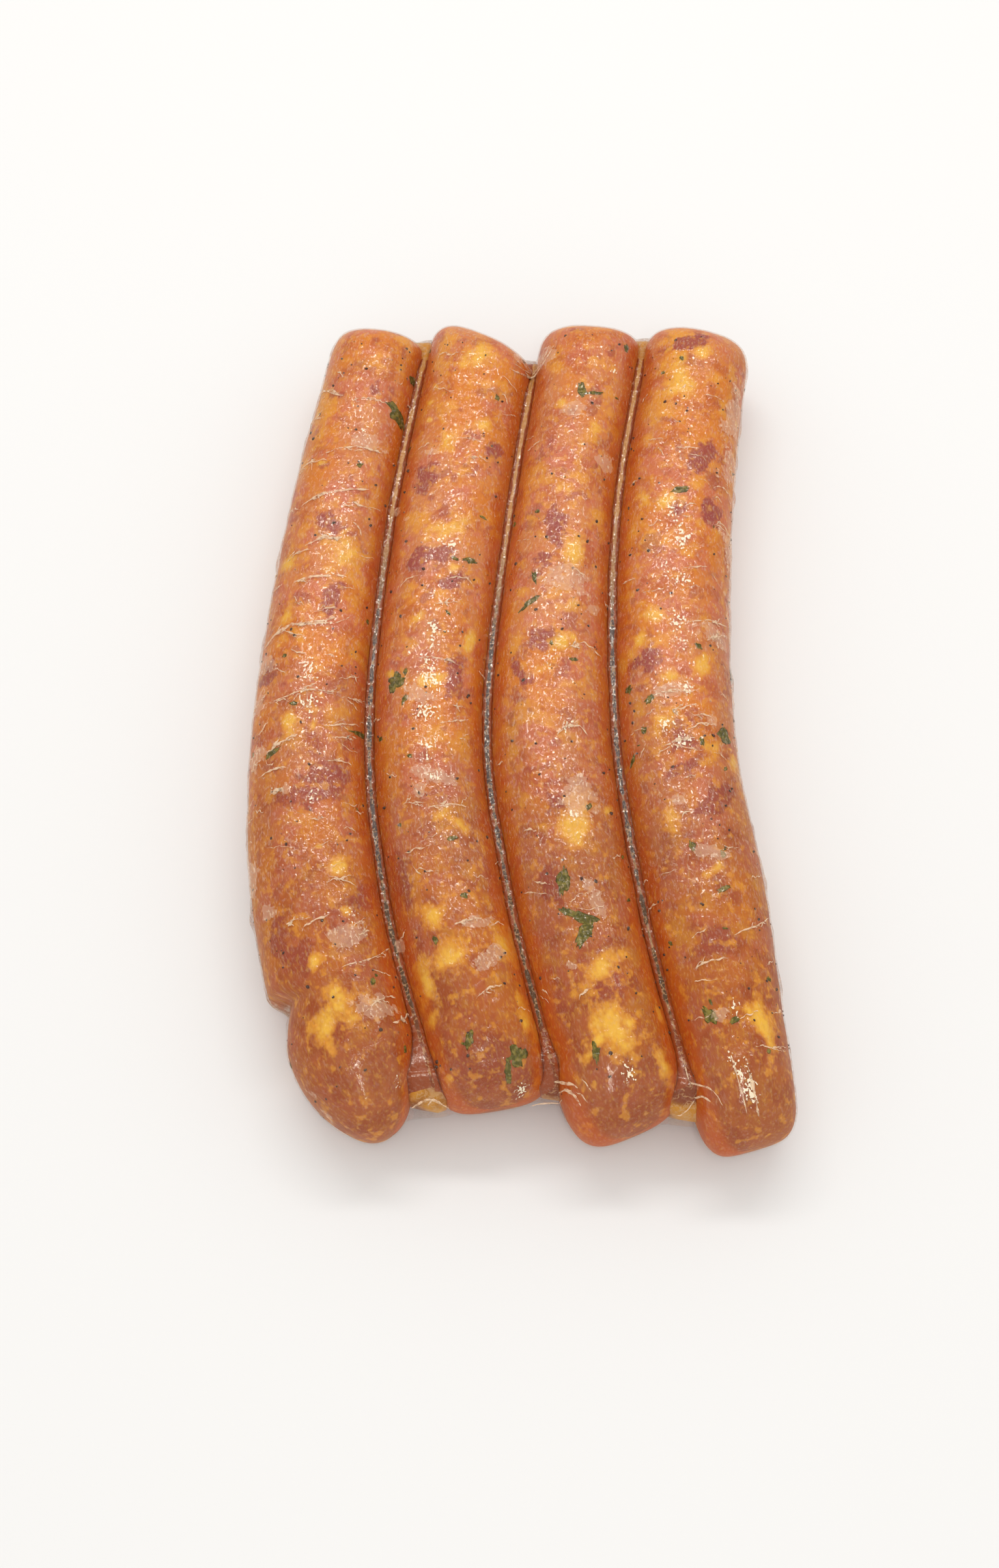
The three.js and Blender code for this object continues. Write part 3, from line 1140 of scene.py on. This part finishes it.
def juice_material(colours):
    """Fat and juice in a valley: tan far away, grey in the middle, brown near and amber at last,
    with painted glints and painted shade at its sides.
    """
    shader = Shader("juice")
    place = shader.place()
    drift = shader.noise(place, 0.012, 2)
    y = shader.add("ShaderNodeSeparateXYZ", {}, {0: place}, 1) + (drift - 0.5) * 0.04
    tone = shader.mix(shader.mask(y, 0.01, 0.05), colours.middle_juice, colours.far_juice)
    tone = shader.mix(shader.mask(y, 0.09, 0.098), tone, colours.jelly)
    tone = shader.mix(shader.mask(y, -0.03, -0.06), tone, colours.near_juice)
    tone = shader.mix(shader.mask(y, -0.074, -0.082), tone, colours.dark_juice)
    tone = shader.mix(shader.mask(y, -0.09, -0.095), tone, colours.jelly)
    # Painted glints: pale spots in the bubble colour.
    glints = shader.noise(shader.shift(place, (0.2, 0, 0)), 0.0035, 2)
    tone = shader.mix(shader.mask(glints, 0.56, 0.66) * 0.5, tone, colours.bubble_and_glint)
    cells = shader.noise(place, 0.0016, 2)
    rims = 1.0 - (cells - 0.5).largest(0.5 - cells) * 20.0
    tone = shader.mix(shader.mask(rims, 0.1, 0.8) * 0.5, tone, colours.bubble_and_glint)
    # Painted shade: the sides of the juice turn the dark brown of the shade.
    beside = shader.attribute("beside", 2) + (glints - 0.5) * 0.9
    tone = shader.mix(shader.mask(beside, 0.2, 0.38), tone, colours.shade_brown)
    normal = shader.bump(cells, 0.8, 0.0003)
    inputs = {"Base Color": tone, "Roughness": 0.3, "Normal": normal, "Specular IOR Level": 0.2}
    return shader.show(shader.principled(inputs))


def floor_material(colours):
    shader = Shader("plain_floor")
    grain = shader.noise(shader.place(), 0.01, 2)
    normal = shader.bump(grain, 0.1, 0.0002)
    inputs = {"Base Color": (*colours.floor, 1), "Roughness": 0.7, "Normal": normal}
    return shader.show(shader.principled(inputs))


class PackOperator:
    """What the operators of the pack share."""

    bl_options = {"REGISTER", "UNDO"}

    @property
    def sizes(self):
        return bpy.context.scene.pack_sizes

    @property
    def colours(self):
        return bpy.context.scene.pack_colours

    @property
    def gap(self):
        return self.sizes.film_gap / MM


class PACK_OT_sausages(PackOperator, Operator):
    """Make the sausages, with their pieces of fat and lean"""

    bl_idname = "pack.sausages"
    bl_label = "Sausages"

    def execute(self, context):
        rng = random.Random(MEAT_SEED)
        material = meat_material(self.colours)
        fat, lean = placed(FAT), placed(LEAN)
        for index in range(len(SAUSAGES)):
            fat[index] += scattered(rng, 26, 3, 9, UNDERSIDE)
            lean[index] += scattered(rng, 20, 4, 9, UNDERSIDE)
            fat[index] += scattered(rng, 14, 1.5, 4, UPPER_SIDE)
            self.make_sausage(index, Spots(fat[index]), Spots(lean[index]), material)
        return {"FINISHED"}

    def make_sausage(self, index, fat, lean, material):
        bm = bmesh.new()
        bmesh.ops.create_uvsphere(bm, u_segments=AROUND, v_segments=RINGS, radius=1)
        lie_layer = bm.verts.layers.float_vector.new("lie")
        fat_layer = bm.verts.layers.float.new("fat")
        lean_layer = bm.verts.layers.float.new("lean")
        valley_shade_layer = bm.verts.layers.float.new("valley")
        for v in bm.verts:
            ring = round((1 - math.acos(clamp(v.co.z, -1, 1)) / math.pi) * RINGS)
            place = ring_place(index, ring, -self.gap)
            angle = math.atan2(v.co.y, v.co.x)
            point, (along, side, rise) = surface(index, place, angle, -self.gap)
            v.co = point * MM
            v[lie_layer] = Vector((side + PATTERN_APART * index, rise, along)) * MM
            v[fat_layer] = fat.strength(place, angle)
            v[lean_layer] = lean.strength(place, angle)
            v[valley_shade_layer] = self.valley_shade_share(index, angle)
        keep(new_piece(bm, f"sausage_{index + 1}", material))

    def valley_shade_share(self, index, angle):
        """Share of painted shade: 0 at the crown and the pack's outer sides, and 1 at the side of a
        valley.
        """
        across = rounded(math.cos(angle), SECTION_POWER)
        line = index + (across > 0)
        inner = 0 < line < len(SAUSAGES)
        return clamp((abs(across) - VALLEY_FROM) / VALLEY_SPAN, 0, 1) if inner else 0.0


class PACK_OT_film(PackOperator, Operator):
    """Make the clear film round all the sausages"""

    bl_idname = "pack.film"
    bl_label = "Clear film"

    def execute(self, context):
        rng = random.Random(FILM_SEED)
        loose = placed(LOOSE_FILM)
        for index in range(len(SAUSAGES)):
            loose[index] += scattered(rng, 14, 3, 8, LOWER_SIDE)
            loose[index] += scattered(rng, 5, 1.5, 4, UPPER_SIDE)
        loose = [Spots(spots) for spots in loose]
        gleams = [Spots(spots) for spots in placed(GLEAMS)]
        columns = FILM_COLUMNS * len(SAUSAGES)
        rims = [self.find_rims(*self.column(number)) for number in range(columns + 1)]
        bm = bmesh.new()
        lie_layer = bm.verts.layers.float_vector.new("lie")
        loose_layer = bm.verts.layers.float.new("loose")
        rim_layer = bm.verts.layers.float.new("rim")
        gleam_layer = bm.verts.layers.float.new("gleam")
        for upward in (1, -1):
            sheet = bmesh.ops.create_grid(bm, x_segments=columns, y_segments=FILM_ROWS, size=1)
            for v in sheet["verts"]:
                number = round((v.co.x + 1) / 2 * columns)
                row = round((v.co.y + 1) / 2 * FILM_ROWS)
                point, (index, place, side, rise) = self.drape(number, row, rims[number], upward)
                ripple = self.ripple(number, point.y)
                point.x += ripple
                v.co = point * MM
                v[lie_layer] = Vector((side + PATTERN_APART * index, rise, place)) * MM
                angle = math.atan2(rise, side)
                v[loose_layer] = max(loose[index].strength(place, angle), abs(ripple) / RIPPLE)
                v[gleam_layer] = gleams[index].strength(place, angle)
                v[rim_layer] = self.rim(point, rims[number][1])
        bmesh.ops.remove_doubles(bm, verts=bm.verts, dist=1e-7)
        keep(new_piece(bm, "clear_film", film_material(self.colours)))
        return {"FINISHED"}

    def column(self, number):
        """Sausage and share across of a column of the film."""
        index = min(number // FILM_COLUMNS, len(SAUSAGES) - 1)
        angle = math.pi * (1 - (number - index * FILM_COLUMNS) / FILM_COLUMNS)
        return index, rounded(math.cos(angle), SECTION_POWER)

    def rim(self, point, far_rim):
        """1 at the free rim of the film and 0 well inside it, where it clings to the meat."""
        left = abs(point.x - smooth(LINE_X[0], point.y)) / RIM_LEFT
        right = abs(point.x - smooth(LINE_X[-1], point.y)) / RIM_RIGHT
        far = (far_rim - point.y) / RIM_FAR
        return clamp(1 - min(left, right, far), 0, 1)

    def ripple(self, number, y):
        """How far the loose film stands out to the side at an outer edge of the pack."""
        last = FILM_COLUMNS * len(SAUSAGES)
        inward = min(number, last - number) / RIPPLE_COLUMNS
        outward = 1 if number > last / 2 else -1
        wave = noise.noise(Vector((outward * 5, y / RIPPLE_LONG, 0)))
        wave += 0.5 * noise.noise(Vector((outward * 9, y / RIPPLE_SHORT, 0)))
        return outward * RIPPLE * max(wave, 0) * max(1 - inward, 0)

    def column_x(self, index, share, y):
        """X of a column at y: evenly between two lines, and on the skin at an outer edge."""
        left = smooth(LINE_X[index], y)
        right = smooth(LINE_X[index + 1], y)
        even = (left * (1 - share) + right * (1 + share)) / 2
        outer = share < 0 if index == 0 else share > 0 and index == len(SAUSAGES) - 1
        if not outer:
            return even
        place, moved = y, 1.0
        while abs(moved) > CLOSE:
            middle, half, lean = section(index, place)
            moved = y + share * half * math.sin(lean) - place
            place += moved
        return even + (middle + share * half * math.cos(lean) - even) * share ** 4

    def covered(self, index, share, y):
        """Whether the film reaches as far as y in a column."""
        x = self.column_x(index, share, y)
        place, across, reach = locate(index, x, y)
        end = end_and_body(index, place)[0]
        if reach < 1 and abs(across) * JUST_INSIDE < taper(reach, end.blunt):
            return True
        for line in (index, index + 1):
            if 0 < line < len(SAUSAGES):
                inside = bridge_edge(line, x, y)
                if inside is not None and inside > 0:
                    return True
        return False

    def find_rims(self, index, share):
        """Y of the near and the far rim of the film in a column."""
        rims = []
        for outer in (-PACK_REACH, PACK_REACH):
            inner = outer / 2
            for _ in range(RIM_STEPS):
                middle = (inner + outer) / 2
                if self.covered(index, share, middle):
                    inner = middle
                else:
                    outer = middle
            rims.append(inner)
        return rims

    def row_y(self, rims, row):
        """Y of one row of the film, with the rows dense towards the rims."""
        near, far = rims
        if row < FILM_END_ROWS:
            return near + FILM_END_LENGTH * (row / FILM_END_ROWS) ** 2
        if row > FILM_ROWS - FILM_END_ROWS:
            return far - FILM_END_LENGTH * ((FILM_ROWS - row) / FILM_END_ROWS) ** 2
        share = (row - FILM_END_ROWS) / (FILM_ROWS - 2 * FILM_END_ROWS)
        return near + FILM_END_LENGTH + (far - near - 2 * FILM_END_LENGTH) * share

    def drape(self, number, row, rims, upward):
        """A point of the film over or under the sausages, and its place, side and rise on one."""
        index, share = self.column(number)
        y = self.row_y(rims, row)
        x = self.column_x(index, share, y)
        place, across, _ = locate(index, x, y)
        side = across * section(index, place)[1]
        on_rim = row in (0, FILM_ROWS) or number in (0, FILM_COLUMNS * len(SAUSAGES))
        rise = 0.0 if on_rim else film_height(index, x, y) * upward
        swell = lump(index, place, side, rise)
        girth = max(math.hypot(side, rise), FILM_LEAST_GIRTH)
        x += nip(index, across, y) + swell * side / girth
        z = max(AXIS_HEIGHT + rise + swell * rise / girth, 0)
        return Vector((x, y, z)), (index, place, side, rise)


class PACK_OT_creases(PackOperator, Operator):
    """Make the creases of the film"""

    bl_idname = "pack.creases"
    bl_label = "Creases"

    def execute(self, context):
        rng = random.Random(CREASE_SEED)
        bm = bmesh.new()
        self.spindle = bmesh.new()
        bmesh.ops.create_uvsphere(
            self.spindle, u_segments=CREASE_SIDES, v_segments=CREASE_RINGS, radius=1
        )
        for crease in CREASES:
            index, place, angle = on_sausage(crease.px0, crease.py0)
            _, far_place, far_angle = on_sausage(crease.px1, crease.py1)
            ends = (place, angle), (far_place, far_angle)
            seed = rng.uniform(*SEED_RANGE)
            width = crease.width * CREASE_SLIM
            self.crease(bm, index, ends, crease.bow, width, seed)
            for _ in range(FORKS):
                root = rng.uniform(0, 0.7)
                start = self.on_path(ends, crease.bow, root, seed)
                place, angle = self.on_path(ends, crease.bow, root + rng.uniform(0.15, 0.4), seed)
                branch = start, (place + rng.uniform(-1.5, 1.5), angle)
                slim = width * rng.uniform(0.5, 0.9)
                self.crease(bm, index, branch, 0, slim, rng.uniform(*SEED_RANGE))
        for fold in FOLDS:
            ends = on_plan(fold.px0, fold.py0), on_plan(fold.px1, fold.py1)
            self.fold(bm, ends, fold.bow, fold.width * CREASE_SLIM, rng.uniform(*SEED_RANGE))
        for index, count in enumerate(SMALL_CREASES):
            for _ in range(count):
                place = rng.uniform(*SMALL_CREASE_Y)
                angle = rng.uniform(*SMALL_CREASE_TURN) * math.pi
                half_turn = rng.uniform(*SMALL_CREASE_LENGTH) / HALF_HEIGHT / 2
                slope = rng.uniform(*SMALL_CREASE_SLOPE)
                ends = (place - slope, angle + half_turn), (place + slope, angle - half_turn)
                width = rng.uniform(*SMALL_CREASE_WIDTH)
                bow = rng.uniform(*SMALL_CREASE_BOW)
                self.crease(bm, index, ends, bow, width, rng.uniform(*SEED_RANGE))
        self.spindle.free()
        keep(new_piece(bm, "film_creases", crease_material(self.colours)))
        return {"FINISHED"}

    def crease(self, bm, index, ends, bow, width, seed):
        """Adds one crease on the skin of a sausage."""

        def path(share):
            return skin(index, *self.on_path(ends, bow, share, seed), 0)

        self.lay(bm, path, width, 1, CREASE_ROUGH)

    def fold(self, bm, ends, bow, width, seed):
        """Adds one fold on the film between sausages."""
        start, end = ends

        def path(share):
            x, y = start.lerp(end, share)
            wander = 0.4 * noise.noise(Vector((seed, share * 3, 0)))
            return film_skin(x, y + bow * 4 * share * (1 - share) + wander)

        self.lay(bm, path, width, FOLD_STANDS, FOLD_ROUGH)

    def lay(self, bm, path, width, stands, rough):
        """Adds a spindle along a path, which gives a point and the way out at each share of it."""
        height = self.sizes.crease_height / MM * stands
        part = self.spindle.copy()
        rings = {}
        for v in part.verts:
            share = (v.co.z + 1) / 2
            key = round(share, 4)
            if key not in rings:
                point, outward = path(share)
                ahead = path(share + PATH_STEP)[0] - point
                slim = max(1 + rough * noise.noise(point * 0.9), 0.2)
                beside = outward.cross(ahead).normalized() * (width / 2 * slim)
                rings[key] = point, outward * height, beside
            point, outward, beside = rings[key]
            v.co = (point + beside * v.co.x + outward * v.co.y) * MM
        add_part(bm, part)

    def on_path(self, ends, bow, share, seed):
        """Place and angle at a share of the way along a crease."""
        (place, angle), (far_place, far_angle) = ends
        wander = 0.6 * noise.noise(Vector((seed, share * 3, 0)))
        wander += 0.3 * noise.noise(Vector((seed, share * 9, 4)))
        here = place + (far_place - place) * share + bow * 4 * share * (1 - share) + wander
        return here, angle + (far_angle - angle) * share


class PACK_OT_herbs(PackOperator, Operator):
    """Make the herb flakes that lie under the film"""

    bl_idname = "pack.herbs"
    bl_label = "Herb flakes"

    def execute(self, context):
        rng = random.Random(HERB_SEED)
        bm = bmesh.new()
        flakes = placed(HERBS)
        for index in range(len(SAUSAGES)):
            flakes[index] += scattered(rng, 14, 0.8, 1.8, UPPER_SIDE)
            flakes[index] += scattered(rng, 12, 1, 5, LOWER_SIDE)
            for flake in flakes[index]:
                self.lay(bm, index, flake, rng.uniform(*SEED_RANGE))
        keep(new_piece(bm, "herb_flakes", herb_material(self.colours)))
        return {"FINISHED"}

    def lay(self, bm, index, flake, seed):
        """Adds one flake: a thin leaf with a ragged outline, bent over the sausage."""
        place, angle, half_length, half_width, turn, squeeze = flake
        thickness = self.sizes.herb_thickness / MM / 2
        part = bmesh.new()
        bmesh.ops.create_uvsphere(part, u_segments=FLAKE_SIDES, v_segments=FLAKE_RINGS, radius=1)
        for v in part.verts:
            ragged = 1
            for number, depth in FLAKE_RAGGED:
                ragged += depth * noise.noise(Vector((v.co.x * number, v.co.y * number, seed)))
            along = v.co.x * half_length * ragged
            wide = v.co.y * half_width * ragged * (1 - FLAKE_TAPER * v.co.x * v.co.x)
            ahead = along * math.cos(turn) - wide * math.sin(turn)
            beside = along * math.sin(turn) + wide * math.cos(turn)
            level = -self.gap + FLAKE_LIFT + v.co.z * thickness
            here = angle - beside / HALF_HEIGHT / squeeze
            v.co = surface(index, place + ahead, here, level)[0] * MM
        add_part(bm, part)


class PACK_OT_pepper(PackOperator, Operator):
    """Make the specks of pepper that lie under the film"""

    bl_idname = "pack.pepper"
    bl_label = "Pepper specks"

    def execute(self, context):
        rng = random.Random(PEPPER_SEED)
        bm = bmesh.new()
        radius = self.sizes.pepper_radius / MM
        for index in range(len(SAUSAGES)):
            for _ in range(self.sizes.pepper_count):
                place = rng.uniform(*PEPPER_Y)
                angle = rng.uniform(0, 2 * math.pi)
                size = radius * rng.uniform(0.5, 1.5) ** 2 * MM
                point = surface(index, place, angle, -self.gap)[0]
                point.z = max(point.z, size * PEPPER_SPREAD / MM)
                turn = Matrix.Rotation(rng.uniform(0, 6), 4, (rng.random(), rng.random(), 0.5))
                long = size * rng.uniform(0.6, PEPPER_SPREAD)
                shape = Matrix.Diagonal((size, size * 0.7, long, 1))
                lay = Matrix.Translation(point * MM) @ turn @ shape
                bmesh.ops.create_icosphere(bm, subdivisions=1, radius=1, matrix=lay)
        keep(new_piece(bm, "pepper_specks", pepper_material(self.colours)))
        return {"FINISHED"}


class PACK_OT_juice(PackOperator, Operator):
    """Make the fat and juice in the valleys and between the ends"""

    bl_idname = "pack.juice"
    bl_label = "Valley juice"

    def execute(self, context):
        material = juice_material(self.colours)
        for line in range(1, len(SAUSAGES)):
            self.fill(line, material)
        return {"FINISHED"}

    def fill(self, line, material):
        """Makes the juice of one valley, from end to end."""
        near, far = BRIDGES[line - 1]
        bm = bmesh.new()
        bmesh.ops.create_uvsphere(bm, u_segments=JUICE_SIDES, v_segments=JUICE_RINGS, radius=1)
        beside_layer = bm.verts.layers.float.new("beside")
        for v in bm.verts:
            share = 1 - math.acos(clamp(v.co.z, -1, 1)) / math.pi
            y = near + JUICE_MARGIN + (far - near - 2 * JUICE_MARGIN) * share
            x = smooth(LINE_X[line], y)
            angle = math.atan2(v.co.y, v.co.x)
            sausage = line if v.co.x > 0 else line - 1
            half = JUICE_HALF + min(self.room(sausage, x, y), JUICE_REACH)
            height = max(floor_height(line, x, y) - self.gap, 0)
            closed = min(math.sin(math.pi * share) * JUICE_CLOSING, 1)
            across = rounded(math.cos(angle), JUICE_POWER) * half * closed
            rise = rounded(math.sin(angle), JUICE_POWER) * height * closed
            v.co = Vector((x + across, y, AXIS_HEIGHT + rise)) * MM
            v[beside_layer] = abs(across) / JUICE_HALF if JELLY_Y[0] < y < JELLY_Y[1] else 0.0
        keep(new_piece(bm, f"valley_juice_{line}", material))

    def room(self, sausage, x, y):
        """How far the side of a sausage has drawn back from a point of a valley."""
        place, _, reach = locate(sausage, x, y)
        width = taper(min(reach, 1), end_and_body(sausage, place)[0].blunt)
        return (1 - width) * section(sausage, y)[1]


class PACK_OT_stage(PackOperator, Operator):
    """Make the plain floor, the soft studio light and the camera"""

    bl_idname = "pack.stage"
    bl_label = "Stage"

    def execute(self, context):
        self.lay_floor()
        self.hang_lights(context.scene)
        self.set_camera(context.scene)
        return {"FINISHED"}

    def lay_floor(self):
        bm = bmesh.new()
        lay = Matrix.Translation((0, 0, -FLOOR_DROP))
        half = self.sizes.floor_side / 2
        bmesh.ops.create_grid(bm, x_segments=1, y_segments=1, size=half, matrix=lay)
        new_piece(bm, "floor", floor_material(self.colours))

    def hang_lights(self, scene):
        world = bpy.data.worlds.new("studio")
        world.use_nodes = True
        background = world.node_tree.nodes["Background"]
        background.inputs["Color"].default_value = (*STUDIO_COLOUR, 1)
        background.inputs["Strength"].default_value = STUDIO_STRENGTH
        scene.world = world
        for light in LIGHTS:
            self.area_light(scene, light)

    def area_light(self, scene, light):
        """Hangs one rectangular light that faces the middle of the pack."""
        data = bpy.data.lights.new(light.name, "AREA")
        data.shape = "RECTANGLE"
        data.size, data.size_y = light.size
        data.energy = light.power
        lamp = bpy.data.objects.new(light.name, data)
        lamp.location = light.place
        lamp.rotation_euler = Vector(light.place).to_track_quat("Z", "Y").to_euler()
        scene.collection.objects.link(lamp)

    def set_camera(self, scene):
        right, up, back = camera_axes()
        data = bpy.data.cameras.new("camera")
        data.sensor_width = SENSOR
        data.lens = FOCAL_PIXELS / PHOTO_HEIGHT * SENSOR
        camera = bpy.data.objects.new("camera", data)
        turn = Matrix((right, up, back)).transposed().to_4x4()
        eye = (LOOK_AT + back * CAMERA_DISTANCE) * MM
        camera.matrix_world = Matrix.Translation(eye) @ turn
        scene.collection.objects.link(camera)
        scene.camera = camera
        scene.view_settings.view_transform = "Standard"


PIECE_OPERATORS = (
    PACK_OT_sausages,
    PACK_OT_film,
    PACK_OT_creases,
    PACK_OT_herbs,
    PACK_OT_pepper,
    PACK_OT_juice,
    PACK_OT_stage,
)


class PACK_PT_sidebar(Panel):
    """The pack's operators, sizes and colours"""

    bl_label = "Sausage pack"
    bl_idname = "PACK_PT_sidebar"
    bl_space_type = "VIEW_3D"
    bl_region_type = "UI"
    bl_category = "Sausage pack"

    def draw(self, context):
        for operator in PIECE_OPERATORS:
            self.layout.operator(operator.bl_idname)
        for group in (context.scene.pack_sizes, context.scene.pack_colours):
            for key in group.__annotations__:
                self.layout.prop(group, key)


CLASSES = (PackSizes, PackColours, *PIECE_OPERATORS, PACK_PT_sidebar)


def register():
    for cls in CLASSES:
        bpy.utils.register_class(cls)
    bpy.types.Scene.pack_sizes = PointerProperty(type=PackSizes)
    bpy.types.Scene.pack_colours = PointerProperty(type=PackColours)


def unregister():
    del bpy.types.Scene.pack_colours
    del bpy.types.Scene.pack_sizes
    for cls in reversed(CLASSES):
        bpy.utils.unregister_class(cls)


def main():
    register()
    bpy.ops.pack.sausages()
    bpy.ops.pack.film()
    bpy.ops.pack.creases()
    bpy.ops.pack.herbs()
    bpy.ops.pack.pepper()
    bpy.ops.pack.juice()
    bpy.ops.pack.stage()


if __name__ == "__main__":
    main()
